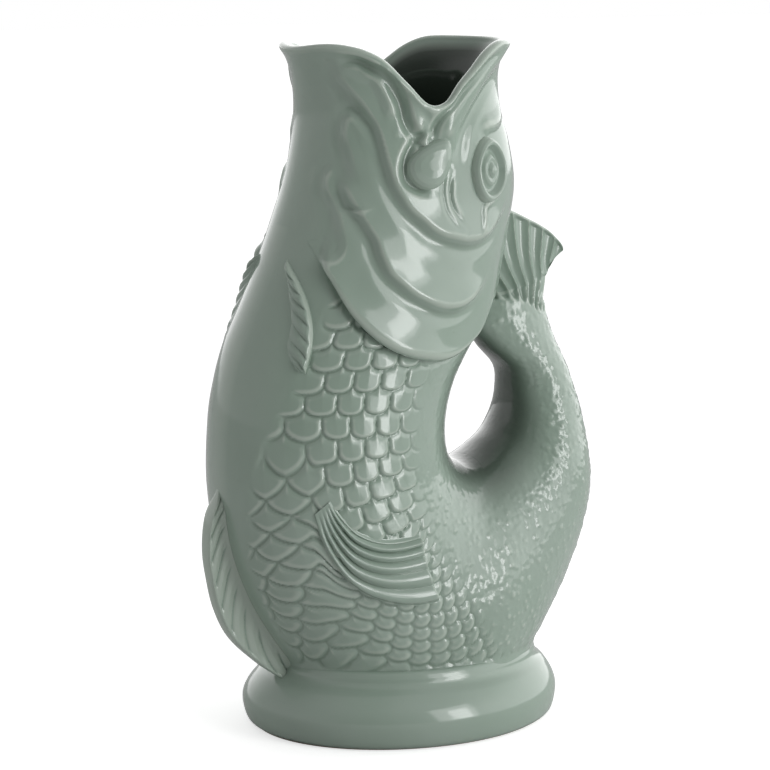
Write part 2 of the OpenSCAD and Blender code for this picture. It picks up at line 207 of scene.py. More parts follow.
def make_piece(name, points, quads, triangles=None, marks=None):
    """A mesh object from points in millimetres, with its faces turned outwards."""
    points = np.asarray(points, float).reshape(-1, 3) * MM
    if triangles is None:
        triangles = np.zeros((0, 3), int)
    halves = np.concatenate([quads[:, [0, 1, 2]], quads[:, [0, 2, 3]], triangles])
    p, q, r = (points[halves[:, k]] for k in range(3))
    if np.einsum("ij,ij->", p, np.cross(q, r)) < 0:
        quads = quads[:, ::-1]
        triangles = triangles[:, ::-1]
    mesh = bpy.data.meshes.new(name)
    mesh.vertices.add(len(points))
    mesh.vertices.foreach_set("co", points.ravel())
    corners = np.concatenate([quads.ravel(), triangles.ravel()]).astype(np.int32)
    mesh.loops.add(len(corners))
    mesh.loops.foreach_set("vertex_index", corners)
    starts = np.concatenate([
        np.arange(len(quads)) * 4, 4 * len(quads) + np.arange(len(triangles)) * 3
    ]).astype(np.int32)
    mesh.polygons.add(len(starts))
    mesh.polygons.foreach_set("loop_start", starts)
    mesh.update(calc_edges=True)
    for key, values in (marks or {}).items():
        values = np.asarray(values, np.float32)
        if values.ndim > 1 and values.shape[-1] == 3:
            layer = mesh.attributes.new(key, "FLOAT_VECTOR", "POINT")
            layer.data.foreach_set("vector", values.ravel())
        else:
            layer = mesh.attributes.new(key, "FLOAT", "POINT")
            layer.data.foreach_set("value", values.ravel())
    return place_object(name, mesh)


def flat_marks(marks):
    """Marks of a grid as plain lists: one number, or one vector, for each point."""
    return {
        key: value.reshape(-1, 3) if key == "outward" else value.reshape(-1)
        for key, value in (marks or {}).items()
    }


def closed_wall(name, rings, marks):
    """A wall whose last ring of points joins its first."""
    rows, columns = rings.shape[:2]
    return make_piece(name, rings, ring_faces(rows, columns, closed=True), marks=flat_marks(marks))


def capped_skin(name, rings, marks=None):
    """A skin over a row of rings, closed by a fan at each end."""
    rows, columns = rings.shape[:2]
    points = np.concatenate([rings.reshape(-1, 3), [rings[0].mean(0)], [rings[-1].mean(0)]])
    triangles = np.concatenate([
        cap_faces(0, columns, rows * columns, False),
        cap_faces((rows - 1) * columns, columns, rows * columns + 1, True),
    ])
    full = {
        key: np.concatenate([value, np.zeros((2,) + value.shape[1:])])
        for key, value in flat_marks(marks).items()
    }
    return make_piece(name, points, ring_faces(rows, columns), triangles[:, ::-1], full)


def outward(grid):
    """Unit normals of a grid whose columns close round, pointing away from its first ring's middle."""
    across = np.roll(grid, -1, 1) - np.roll(grid, 1, 1)
    along = np.gradient(grid, axis=0)
    normal = np.cross(across, along)
    normal /= np.linalg.norm(normal, axis=-1, keepdims=True) + 1e-12
    if np.sum(normal[0] * (grid[0] - grid[0].mean(0))) < 0:
        normal = -normal
    return normal


MIRROR = (1, -1, 1)


def left_face(middle, half):
    """The left face of an upright blade, half its thickness from the middle plane."""
    return middle * (1, 0, 1) + np.stack([0 * half, -half, 0 * half], -1)


def both_sides(left, right, shared=0):
    """A blade's left columns, then its right ones backwards without those shared at each end."""
    return np.concatenate([left, right[:, ::-1][:, shared:left.shape[1] - shared]], axis=1)


# Node trees
class Wire:
    """A socket of a node tree. Arithmetic on it adds Math nodes."""

    def __init__(self, tree, socket=None):
        self.tree = tree
        self.socket = socket

    def node(self, kind, settings=None, sockets=None, output=0):
        """Adds a node: its settings first, then the values or links of its sockets."""
        node = self.tree.nodes.new(kind)
        for key, value in (settings or {}).items():
            setattr(node, key, value)
        for key, value in (sockets or {}).items():
            socket = node.inputs[key]
            if isinstance(value, Wire):
                self.tree.links.new(value.socket, socket)
            else:
                socket.default_value = value
        return Wire(self.tree, node.outputs[output])

    def math(self, operation, *values, clamp=False):
        """A Math node on this wire and any further values."""
        sockets = dict(enumerate((self,) + values))
        return self.node("ShaderNodeMath", {"operation": operation, "use_clamp": clamp}, sockets)

    def __add__(self, other):
        return self.math("ADD", other)

    __radd__ = __add__

    def __sub__(self, other):
        return self.math("SUBTRACT", other)

    def __rsub__(self, other):
        return self.node("ShaderNodeMath", {"operation": "SUBTRACT"}, {0: other, 1: self})

    def __mul__(self, other):
        return self.math("MULTIPLY", other)

    __rmul__ = __mul__

    def __truediv__(self, other):
        return self.math("DIVIDE", other)

    def __rtruediv__(self, other):
        return self.node("ShaderNodeMath", {"operation": "DIVIDE"}, {0: other, 1: self})

    def __pow__(self, other):
        return self.math("POWER", other)

    def __abs__(self):
        return self.math("ABSOLUTE")

    def least(self, other):
        return self.math("MAXIMUM", other)

    def clamped(self):
        return self.math("ADD", 0.0, clamp=True)

    def between(self, low, high):
        """0 below low, 1 above high, and smooth between them."""
        sockets = {0: self, 1: low, 2: high, 3: 0.0, 4: 1.0}
        return self.node("ShaderNodeMapRange", {"interpolation_type": "SMOOTHSTEP"}, sockets)

    def blend(self, low, high):
        """Number mixed by this factor."""
        return self.node("ShaderNodeMix", {"data_type": "FLOAT"}, {0: self, 2: low, 3: high})

    def tint(self, low, high):
        """Colour mixed by this factor."""
        return self.node("ShaderNodeMix", {"data_type": "RGBA"}, {0: self, 6: low, 7: high}, 2)

    def scaled(self, number):
        """Vector times a number."""
        return self.node("ShaderNodeVectorMath", {"operation": "SCALE"}, {0: self, 3: number})

    def end(self, kind, key="Surface"):
        """Links this wire to a new output node of its tree."""
        self.tree.links.new(self.socket, self.tree.nodes.new(kind).inputs[key])


def blank_tree(block):
    """Empties the node tree of a material or a world, and starts a wire in it."""
    block.use_nodes = True
    block.node_tree.nodes.clear()
    return Wire(block.node_tree)


class Former:
    """A Geometry Nodes tree that forms a piece, with named inputs for its sizes."""

    def __init__(self, name, sizes):
        self.tree = bpy.data.node_groups.new(name, "GeometryNodeTree")
        face = self.tree.interface
        face.new_socket("Geometry", in_out="INPUT", socket_type="NodeSocketGeometry")
        for key, value in sizes.items():
            kind = "NodeSocketString" if isinstance(value, str) else "NodeSocketFloat"
            socket = face.new_socket(key, in_out="INPUT", socket_type=kind)
            socket.default_value = value
        face.new_socket("Finish", in_out="INPUT", socket_type="NodeSocketMaterial")
        face.new_socket("Geometry", in_out="OUTPUT", socket_type="NodeSocketGeometry")
        self.entry = self.tree.nodes.new("NodeGroupInput")
        self.wire = Wire(self.tree)

    def size(self, key):
        return Wire(self.tree, self.entry.outputs[key])

    def named(self, key, kind="FLOAT"):
        return self.wire.node("GeometryNodeInputNamedAttribute", {"data_type": kind}, {"Name": key})

    def position(self):
        return self.wire.node("GeometryNodeInputPosition")

    def uneven(self, key, seed):
        """A row or column number, with the noise that sets each scale a little off."""
        noise = self.wire.node(
            "ShaderNodeTexNoise", {"noise_dimensions": "4D"},
            {"Vector": self.position(), "W": seed, "Scale": 45.0, "Detail": 1.0},
        )
        return self.named(self.size(key)) + (noise - 0.5) * self.size("Unevenness")

    def close(self, deep):
        """Moves the skin outwards by a depth and ends the tree."""
        offset = self.named("outward", "FLOAT_VECTOR").scaled(deep)
        moved = self.wire.node(
            "GeometryNodeSetPosition", None, {"Geometry": self.size("Geometry"), "Offset": offset}
        )
        real = self.wire.node("GeometryNodeRealizeInstances", None, {"Geometry": moved})
        dressed = self.wire.node(
            "GeometryNodeSetMaterial", None, {"Geometry": real, "Material": self.size("Finish")}
        )
        dressed.end("NodeGroupOutput", "Geometry")

    def apply(self, piece, finish, **sizes):
        """Runs the tree on a piece and keeps the result as its plain mesh."""
        modifier = piece.modifiers.new(self.tree.name, "NODES")
        modifier.node_group = self.tree
        wanted = dict(sizes, Finish=finish)
        for item in self.tree.interface.items_tree:
            key = item.name.replace(" ", "_")
            if item.in_out == "INPUT" and key in wanted:
                modifier[item.identifier] = wanted[key]
        depsgraph = bpy.context.evaluated_depsgraph_get()
        formed = bpy.data.meshes.new_from_object(
            piece.evaluated_get(depsgraph), preserve_all_data_layers=True, depsgraph=depsgraph
        )
        piece.modifiers.remove(modifier)
        old = piece.data
        piece.data = formed
        bpy.data.meshes.remove(old)


def make_scale_former():
    """Overlapping scales, one row half a scale off the next, with tips from square to pointed."""
    former = Former("overlapping_scales", {
        "Row": "flank_row", "Column": "flank_column", "Cover": "flank_cover", "Pointed": "flank_pointed",
        "Scale height": 0.0014, "Blunt tip": 0.42, "Blunt power": 2.2, "Pointed tip": 1.0,
        "Pointed power": 1.35, "Softness": "flank_softness", "Root height": 0.5, "Unevenness": 0.10,
    })
    row = former.uneven("Row", 1.3)
    column = former.uneven("Column", 7.9)
    pointed = former.named(former.size("Pointed"))
    tip = pointed.blend(former.size("Blunt tip"), former.size("Pointed tip"))
    power = pointed.blend(former.size("Blunt power"), former.size("Pointed power"))
    below = row.math("FLOOR")
    part = row - below
    shift = below.math("FLOORED_MODULO", 2.0) * 0.5
    near = abs((column - shift + 0.5).math("FRACT") - 0.5) * 2.0
    far = abs((column - shift).math("FRACT") - 0.5) * 2.0
    near_wide = near ** power
    far_wide = far ** power
    near_edge = tip * (1.0 - near_wide).least(0.0) ** (1.0 / power)
    far_edge = tip * (1.0 - far_wide).least(0.0) ** (1.0 / power)
    inside = part.math("LESS_THAN", near_edge)
    lower = inside.blend(far_edge + 1.0, near_edge)
    upper = inside.blend(near_edge, far_edge - 1.0)
    wide = inside.blend(far_wide, near_wide)
    down = (part - upper) / (lower - upper).least(0.05)
    drop = ((part - inside.blend(1.0, 0.0)) / tip).least(0.0)
    reach = (drop ** power + wide) ** (1.0 / power)
    edge = ((1.0 - reach) / former.named(former.size("Softness"))).clamped()
    soft = 1.0 - (1.0 - edge) * (1.0 - edge)
    start = 1.0 - (down * 3.2).clamped()
    root = former.size("Root height")
    lift = (root * (1.0 - start * start) + (1.0 - root) * down.clamped()) * soft * (1.0 - wide * 0.12)
    former.close((lift - 1.0) * former.size("Scale height") * former.named(former.size("Cover")))
    return former


def make_grain_former():
    """Fine uneven grain, like very small scales, on the tail and the back."""
    former = Former("pebbled_grain", {"Grain size": 0.0026, "Grain height": 0.0004, "Fine height": 0.00008})
    total = 0.0
    for share, seed, height in ((1.0, 0.4, "Grain height"), (0.5, 5.1, "Fine height")):
        cell = former.wire.node(
            "ShaderNodeTexVoronoi", {"voronoi_dimensions": "4D", "feature": "SMOOTH_F1"},
            {"Vector": former.position(), "W": seed, "Scale": 1.0 / (former.size("Grain size") * share),
             "Smoothness": 0.35, "Randomness": 0.75},
        )
        total = (cell.between(0.05, 0.8) * -1.0) * former.size(height) + total
    former.close(total * former.named("grain_cover"))
    return former


def make_rib_former():
    """Ribs that run along a fin, round or with hollow flutes between them."""
    former = Former("fin_ribs", {
        "Ribs": 7.0, "Rib height": 0.0009, "Sharpness": 1.0, "Fluted": 0.0,
        "Ray height": 0.0, "Rays per rib": 3.0,
    })
    turn = former.named("across") * former.size("Ribs") * math.pi
    wave = abs(turn.math("SINE")) ** former.size("Sharpness")
    shape = former.size("Fluted").blend(wave, 1.0 - wave)
    rays = abs((turn * former.size("Rays per rib")).math("SINE"))
    deep = (shape - 1.0) * former.size("Rib height") + (rays - 1.0) * former.size("Ray height")
    former.close(deep * former.named("cover"))
    return former


# Glaze
CELADON = (0.325, 0.405, 0.345, 1.0)
CLOUDED = (0.300, 0.385, 0.320, 1.0)
POOLED = (0.150, 0.210, 0.160, 1.0)
THIN_GLAZE_AND_PAINTED_LIGHT = (0.50, 0.57, 0.50, 1.0)
FLECKED = (0.16, 0.21, 0.16, 1.0)
PAINTED_SHADE = (0.050, 0.066, 0.052, 1.0)
BARE_CLAY = (0.56, 0.50, 0.42, 1.0)
CLAY_ROUGHNESS = 0.8


def make_glaze():
    """Glossy celadon: darker where it pools in hollows, lighter on thin edges, with painted shade inside the
    jug and round the finger gap, and painted light on some pieces.
    """
    material = bpy.data.materials.new("celadon_glaze")
    wire = blank_tree(material)
    place = wire.node("ShaderNodeTexCoord", output=3)
    relief, inside = (
        wire.node("ShaderNodeAttribute", {"attribute_name": key}, output=2) for key in ("relief", "inside")
    )
    cloud, fleck, ripple = (
        wire.node("ShaderNodeTexNoise", None, {"Vector": place, "Scale": scale, "Detail": detail})
        for scale, detail in ((22.0, 3.0), (900.0, 2.0), (140.0, 2.0))
    )
    colour = cloud.between(0.35, 0.65).tint(CELADON, CLOUDED)
    colour = ((relief * -1.0).between(0.1, 1.0) * 0.45).tint(colour, POOLED)
    # Lighter where the glaze runs thin on raised edges, and painted light where a piece's relief is raised by
    # its offset of painted light.
    colour = (relief.between(0.15, 0.9) * 0.6).tint(colour, THIN_GLAZE_AND_PAINTED_LIGHT)
    colour = (fleck.between(0.66, 0.8) * 0.12).tint(colour, FLECKED)
    # Painted shade: dark glaze inside the jug, on the inner walls and round the finger gap.
    colour = inside.tint(colour, PAINTED_SHADE)
    # The underside of the foot is bare
    level = wire.node("ShaderNodeSeparateXYZ", None, {0: place}, 2)
    clay = 1.0 - level.between(0.00025, 0.0006)
    colour = clay.tint(colour, BARE_CLAY)
    gloss = clay.blend(cloud * 0.05 + 0.095, CLAY_ROUGHNESS)
    bump = wire.node(
        "ShaderNodeBump", None, {"Strength": 0.3, "Distance": 0.0002, "Height": ripple + fleck * 0.12}
    )
    surface = wire.node("ShaderNodeBsdfPrincipled", None, {
        "Base Color": colour, "Roughness": gloss, "Normal": bump, "IOR": 1.52,
        "Coat Weight": 0.4, "Coat Roughness": 0.06,
    })
    surface.end("ShaderNodeOutputMaterial")
    return material


GLAZE = make_glaze()
CREASE_ANGLE = 60.0
FULL_RELIEF = 0.00022


def read_vectors(source, key, kind=float):
    values = np.empty(len(source) * 3, kind)
    source.foreach_get(key, values)
    return values.reshape(-1, 3)


def glaze_depth(mesh, passes, painted_light):
    """Stores how far each point stands above or below the skin round it, raised by an offset of painted
    light, from -1 to 1.
    """
    count = len(mesh.vertices)
    points = read_vectors(mesh.vertices, "co")
    normals = read_vectors(mesh.vertices, "normal")
    layer = mesh.attributes.get("outward")
    if layer is not None:
        given = read_vectors(layer.data, "vector", np.float32)
        normals = np.where(np.linalg.norm(given, axis=1, keepdims=True) > 0.5, given, normals)
    edges = np.empty(len(mesh.edges) * 2, np.int32)
    mesh.edges.foreach_get("vertices", edges)
    a, b = edges.reshape(-1, 2).T
    kept = np.einsum("ij,ij->i", normals[a], normals[b]) > 0.3
    # The points along a sharp edge or a joint stay where they are
    held = np.bincount(np.concatenate([a[~kept], b[~kept]]), minlength=count) > 0
    a = a[kept]
    b = b[kept]
    share = np.maximum(np.bincount(a, minlength=count) + np.bincount(b, minlength=count), 1)
    level = points.copy()
    for _ in range(passes):
        new = np.empty_like(level)
        for k in range(3):
            total = np.bincount(a, level[b, k], count) + np.bincount(b, level[a, k], count)
            new[:, k] = (level[:, k] + total / share) / 2
        new[held] = points[held]
        level = new
    # The offset of painted light moves a whole piece towards the lighter glaze tint.
    relief = np.einsum("ij,ij->i", points - level, normals) / FULL_RELIEF + painted_light
    layer = mesh.attributes.new("relief", "FLOAT", "POINT")
    layer.data.foreach_set("value", np.clip(relief, -1.0, 1.0).astype(np.float32))


def finish_piece(piece, node, passes=10, painted_light=0.0):
    """Smooth faces, glaze with any painted light, and the CAD node that the piece stands for."""
    mesh = piece.data
    mesh.shade_smooth()
    mesh.set_sharp_from_angle(angle=math.radians(CREASE_ANGLE))
    mesh.materials.clear()
    mesh.materials.append(GLAZE)
    glaze_depth(mesh, passes, painted_light)
    for key in [item.name for item in mesh.attributes]:
        if key.split("_")[0] in ("outward", "across", "cover", "flank", "grain"):
            mesh.attributes.remove(mesh.attributes[key])
    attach(piece, "root")
    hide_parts(node)


SCALES = make_scale_former()
GRAIN = make_grain_former()
RIBS = make_rib_former()


# Trunk and belly
def turns(fine, coarse, front, back):
    """Angles round the fish: close together on the scaled flanks, wider on its smooth front."""
    side = np.concatenate([
        np.linspace(0.0, front, int(front / coarse) + 1)[:-1],
        np.linspace(front, 180.0 - back, int((180.0 - back - front) / fine) + 1)[:-1],
        np.linspace(180.0 - back, 180.0, int(back / fine) + 1),
    ])
    return np.concatenate([side, 360.0 - side[-2:0:-1]])


PATH_POINTS = 1200


def path_length(angle, low, high):
    """Stations and the distance along the skin at one angle."""
    s = np.linspace(low, high, PATH_POINTS)
    line = skin(s, np.full(PATH_POINTS, angle))
    step = np.linalg.norm(np.diff(line, axis=0), axis=1)
    return s, np.concatenate([[0.0], np.cumsum(step)])


def row_rule(angle, pitches):
    """Turns a station into a row number, with the scale length given at some stations."""
    s, run = path_length(angle, 2.0, float(LAST_STATION))
    pitch = np.interp(s, [p[0] for p in pitches], [p[1] for p in pitches])
    rows = np.concatenate([[0.0], np.cumsum(np.diff(run) / pitch[1:])])
    return lambda station: np.interp(station, s, rows)


# In front of the pelvic fin and under it the rows lie closer together than above it
FRONT_START = 10.6
FRONT_END = 12.4
side_rows = row_rule(75.0, [(4, 8.2), (11.9, 8.2), (12.6, 5.0), (14, 4.6), (15, 4.0)])
front_rows = row_rule(40.0, [(4, 8.2), (10.6, 8.2), (11.2, 5.6), (13.0, 5.1)])
# Angle at which the scales begin, and at which the grain takes over from them, at some stations
SCALES_FROM = [[4, 9, 10, 11, 12, 13, 14, 15], [47, 41, 31, 21, 14, 11, 10, 9]]
GRAIN_FROM = [
    [4, 8.6, 10.6, 11.8, 12.4, 13.0, 13.7, 14.3, 15.0, 15.8, 16.6, 17.3],
    [103, 104, 105, 104, 102, 99, 95, 88, 72, 50, 25, -15],
]


def columns_at(station, angle):
    """Column number of a scale: the columns lean backwards, and are narrow under the pelvic fin."""
    low = smooth((station - 12.0) / 1.2)
    leaned = angle - 2.6 * (np.minimum(station, 12.0) - 7.0) * smooth((angle - 20.0) / 40.0)
    steps = np.linspace(-60.0, 180.0, 481)
    wide = np.cumsum(0.5 / mix(15.5, 13.0, smooth((steps - 48.0) / 14.0)))
    fine = np.cumsum(0.5 / mix(12.5, 8.5, smooth((steps - 28.0) / 24.0)))
    wide = np.interp(leaned, steps, wide) - np.interp(60.0, steps, wide)
    fine = np.interp(leaned, steps, fine) - np.interp(60.0, steps, fine)
    return mix(wide, fine, low)


def fin_line(table, share):
    """Station and angle on a fin's edge, at a share of its length."""
    at = spline(table, 4 * np.asarray(share, float))
    return at[..., 0] * LAST_STATION, at[..., 1] * 180.0


PELVIC_UPPER = [[0.481, 0.358], [0.496, 0.381], [0.512, 0.414], [0.528, 0.472], [0.542, 0.556]]
PELVIC_LOWER = [[0.490, 0.311], [0.522, 0.325], [0.554, 0.353], [0.576, 0.406], [0.596, 0.489]]
PECTORAL_REAR = [[0.246, 0.083], [0.270, 0.156], [0.300, 0.217], [0.335, 0.258], [0.365, 0.264]]
PECTORAL_FRONT = [[0.250, 0.079], [0.281, 0.126], [0.312, 0.168], [0.342, 0.188], [0.365, 0.245]]


def grain_strength(station, f):
    """The grain is faint up the back and on the tail, and bold behind the pelvic fin."""
    bold = smooth((station - 10.5) / 2.0) * smooth((150.0 - f) / 30.0)
    return mix(0.3, 1.0, bold) * mix(1.0, 0.85, smooth((station - 15.0) / 2.5))


def gap_shade(station, f):
    """Painted shade: the glaze is painted deep green round the finger gap."""
    return 0.9 * smooth((f - 122.0) / 46.0) * smooth((station - 9.6) / 3.2) * smooth((22.3 - station) / 1.5)


def scale_marks(station, angle):
    """Where each point lies in the rows of scales, and how far each kind covers it."""
    f = fold(angle)
    covered = smooth((f - np.interp(station, *SCALES_FROM)) / 9.0)
    grain = smooth((f - np.interp(station, *GRAIN_FROM)) / 11.0)
    low = smooth((station - 12.2) / 1.0)
    side = smooth((f - mix(52.0, 40.0, low)) / mix(10.0, 45.0, low))
    extra = front_rows(np.clip(station, FRONT_START, FRONT_END)) - front_rows(FRONT_START)
    from_front = (
        side_rows(np.minimum(station, FRONT_START)) + extra
        + side_rows(np.maximum(station, FRONT_END)) - side_rows(FRONT_END)
    )
    return {
        "flank_row": mix(from_front, side_rows(station), side), "flank_column": columns_at(station, f),
        "flank_cover": covered * (1 - grain) * mix(1.0, 0.7, low) * mix(1.0, 0.55, smooth((f - 92.0) / 14.0)),
        "flank_pointed": mix(mix(0.1, 1.0, smooth((station - 9.8) / 1.2)) * (1 - side), 0.35, low),
        "flank_softness": mix(0.30, 0.50, low),
        "grain_cover": grain * grain_strength(station, f) * (1 - 0.8 * gap_shade(station, f)),
        # Painted shade round the finger gap.
        "inside": gap_shade(station, f),
    }


def clip_below(piece, level):
    """Cuts a closed wall level, and closes it with one flat face round the cut."""
    work = bmesh.new()
    work.from_mesh(piece.data)
    bmesh.ops.bisect_plane(
        work, geom=work.verts[:] + work.edges[:] + work.faces[:], dist=1e-7,
        plane_co=(0, 0, level * MM), plane_no=(0, 0, 1), clear_inner=True,
    )
    open_edges = [edge for edge in work.edges if edge.is_boundary]
    bmesh.ops.triangle_fill(work, edges=open_edges, use_beauty=True, normal=(0, 0, -1))
    bmesh.ops.recalc_face_normals(work, faces=work.faces[:])
    work.to_mesh(piece.data)
    work.free()


BODY_TURNS = turns(0.62, 2.2, 10.0, 14.0)
# Stations between the three pieces of the body, and the rows' spacing behind and before the first
SPLIT_STATIONS = (14.5, 11.3)
REAR_STEP = 0.65
FRONT_STEP = 0.47
# The wall's inner face has one row for each of these many outer rows
INNER_STRIDE = 6


def body_grid():
    """Stations and angles of the whole outer skin, from the tail root up to the gill edge."""
    s, run = path_length(95.0, float(LAST_TRUNK), TAIL_ROOT)
    back = np.interp(SPLIT_STATIONS[0], s, run)
    rear = np.linspace(run[-1], back, int((run[-1] - back) / REAR_STEP))[:-1]
    front = np.linspace(back, 0.0, int(back / FRONT_STEP))
    lower = np.interp(np.concatenate([rear, front]), run, s)
    splits = [int(np.argmin(np.abs(lower - station))) for station in SPLIT_STATIONS]
    lower[splits] = SPLIT_STATIONS
    share = 1 - (1 - np.linspace(0.0, 1.0, 92)[1:]) ** 1.08
    level = mix(TRUNK_TOP - LAST_TRUNK * TRUNK_STEP, gill(BODY_TURNS)[None, :], share[:, None])
    station = np.concatenate([
        np.broadcast_to(lower[:, None], (len(lower), len(BODY_TURNS))), trunk_station(level)
    ])
    return station, np.broadcast_to(BODY_TURNS, station.shape), splits


def make_body():
    station, angle, (rear, middle) = body_grid()
    marks = scale_marks(station, angle)
    f = fold(angle)
    # A hollow under the gill cover's edge, and a smooth collar where the fish meets its foot
    below_gill = (station - trunk_station(gill(angle))) * TRUNK_STEP
    along_gill = smooth((f - 34.0) / 10.0) * smooth((140.0 - f) / 14.0)
    hollow = 0.9 * np.exp(-(below_gill / 2.2) ** 2) * along_gill
    plain = skin(station, angle)
    above_foot = plain[..., 2] - FOOT_HEIGHT
    near_foot = np.exp(-(np.maximum(above_foot, 0.0) / 2.2) ** 2) * (station > 11)
    outer = skin(station, angle, 1.1 * near_foot - hollow)
    for key in ("flank_cover", "grain_cover"):
        marks[key] = marks[key] * (1 - smooth((4.5 - above_foot) / 3.0) * (station > 11))
    normal = outward(outer)
    parts = {
        "rear_skin": slice(0, rear + 1),
        "belly_skin": slice(rear, middle + 1),
        "trunk_skin": slice(middle, None),
    }
    for name, part in parts.items():
        inner_station = station[part][::-1][::INNER_STRIDE]
        if not np.allclose(inner_station[-1], station[part][0]):
            inner_station = np.concatenate([inner_station, station[part][:1]])
        inner = skin(inner_station, np.broadcast_to(BODY_TURNS, inner_station.shape), -WALL)
        kept = {key: np.concatenate([value[part], np.zeros(inner.shape[:2])]) for key, value in marks.items()}
        kept["outward"] = np.concatenate([normal[part], -outward(inner)])
        # The wall's inner face is painted in full shade.
        kept["inside"][len(outer[part]):] = 1.0
        piece = closed_wall(name, np.concatenate([outer[part], inner]), kept)
        SCALES.apply(piece, GLAZE)
        GRAIN.apply(piece, GLAZE)
        if name != "trunk_skin":
            clip_below(piece, FOOT_HEIGHT)
        finish_piece(piece, "body")


make_body()


# Head
LINE_POINTS = 100


def reach_of(spots, ends, angle, place):
    """How far each point lies from a drawn line, signed by its side and plain, and the line's strength."""
    chart = spline(spots, np.linspace(0, len(spots) - 1, LINE_POINTS))
    marks = skin(trunk_station(chart[:, 1]), chart[:, 0])
    raised = skin(trunk_station(chart[:, 1]), chart[:, 0], 1.0) - marks
    left = np.cross(raised, np.gradient(marks, axis=0))
    left /= np.linalg.norm(left, axis=1, keepdims=True)
    along = np.linspace(0.0, 1.0, LINE_POINTS)
    strength = smooth(along / max(ends[0], 1e-3)) * smooth((1 - along) / max(ends[1], 1e-3))
    flat = place.reshape(-1, 3)
    reach = np.stack([np.linalg.norm(flat - mark, axis=1) for mark in marks], -1)
    best = reach.min(axis=1, keepdims=True)
    share = np.exp((best - reach) / (0.6 + 0.15 * best))
    total = share.sum(axis=1)
    signed = np.zeros(len(flat))
    for k in range(LINE_POINTS):
        signed += share[:, k] * ((flat - marks[k]) @ left[k])
    signed = signed / total
    best = best[:, 0]
    # Away from the line its side counts, and near it the exact distance across it
    sided = best * np.clip(2 * signed / np.maximum(best, 1e-6), -1, 1)
    signed = mix(signed, sided, smooth((best - 1.5) / 1.5))
    held = (share @ strength) / total
    return signed.reshape(angle.shape), best.reshape(angle.shape), held.reshape(angle.shape)


def ridge(spots, width, height, ends, angle, place):
    """A soft raised line, or a groove where its height is negative."""
    signed, best, strength = reach_of(spots, ends, angle, place)
    near = smooth((1.7 * width - best) / (0.6 * width))
    return height * strength * near * np.clip(1 - (signed / width) ** 2, 0, 1) ** 2


def ledge(spots, height, run, ends, groove, angle, place):
    """The thick round edge of a band that lies over the next one, raised on the line's left."""
    signed, best, strength = reach_of(spots, ends, angle, place)
    lip = height * smooth((signed + 1.2) / 4.0) * np.exp(-np.maximum(signed - 2.8, 0) / run)
    lip *= smooth((2.1 * run - best) / run)
    hollow = groove * np.exp(-((signed + 2.2) / 2.2) ** 2) * smooth((8.0 - best) / 3.0)
    return strength * (lip - hollow)


# Lines drawn on the head: the angle and the height of points along each
FIRST_BAND = [
    [27, 246], [29, 243], [31, 238], [35, 234.5], [42, 229], [47, 224], [51, 219], [56, 208], [60, 201],
    [64, 196.5], [70, 191.5], [78, 187], [86, 183], [95, 180.5], [107, 179], [118, 181], [128, 187],
    [136, 195],
]
SECOND_LOBE = [
    [58, 203], [54, 212], [50, 218], [45, 222.5], [40, 225], [35, 224.5], [32.5, 221], [32.5, 217],
    [36, 211], [40, 204], [44, 199],
]
SECOND_BAND = [
    [34, 206], [35, 201], [40, 196], [45, 192], [50, 188], [57, 182], [62, 176], [68, 170], [76, 165],
    [84, 161], [96, 157], [105, 156], [112, 157], [120, 161], [130, 169],
]
THIRD_LOBE = [
    [39, 194], [34, 201], [31, 204.5], [28, 206], [25, 204], [25, 201], [27, 198], [32, 194], [36, 190],
    [40, 185], [43, 180], [42, 177], [39, 177], [35, 179],
]
LIP_FOLD = [[34, 244], [44, 244], [51, 242], [60, 238], [65, 231], [68, 223], [72, 217]]
LIP_ROLL = [[40, 248], [52, 245.5], [62, 240], [68, 234], [71, 228], [73, 222], [75, 218]]
CHEEK_CREST = [[46, 240], [54, 239], [58, 235], [61, 229], [62, 223]]
UPPER_CREASE = [[81, 217], [83, 221], [87, 225], [93, 228.5], [104, 235], [121, 243], [133, 246.5]]
UPPER_LIP = [[158, 247], [143, 245], [126, 240.5], [109, 232.5], [98, 225.5], [91, 220], [87, 215]]
UPPER_FOLD = [[140, 238], [128, 235], [112, 227], [101, 219], [96, 211], [94, 205]]
CHEEK_LINE = [[89, 204], [88, 199], [90, 193], [94, 189], [99, 185]]
CHEEK_SECOND = [[92, 203], [92, 197], [94, 193], [99, 188]]
BROW = [[112, 217], [118, 220], [127, 221], [138, 223], [150, 227]]
UNDER_EYE = [[119, 194], [112, 192], [112, 187], [113, 180]]
KNOB_FOLD = [[80, 221], [73, 217], [68, 212], [66, 207], [68, 202], [74, 199], [81, 198]]
# Each band: its line, height, run down from its crest, fade at its ends, and groove before it
BANDS = (
    (FIRST_BAND, 2.3, 9.0, (0.25, 0.14), 0.6),
    (SECOND_LOBE, 1.0, 6.0, (0.3, 0.2), 0.4),
    (SECOND_BAND, 2.3, 9.0, (0.16, 0.14), 0.6),
    (THIRD_LOBE, 1.0, 6.0, (0.3, 0.15), 0.4),
)
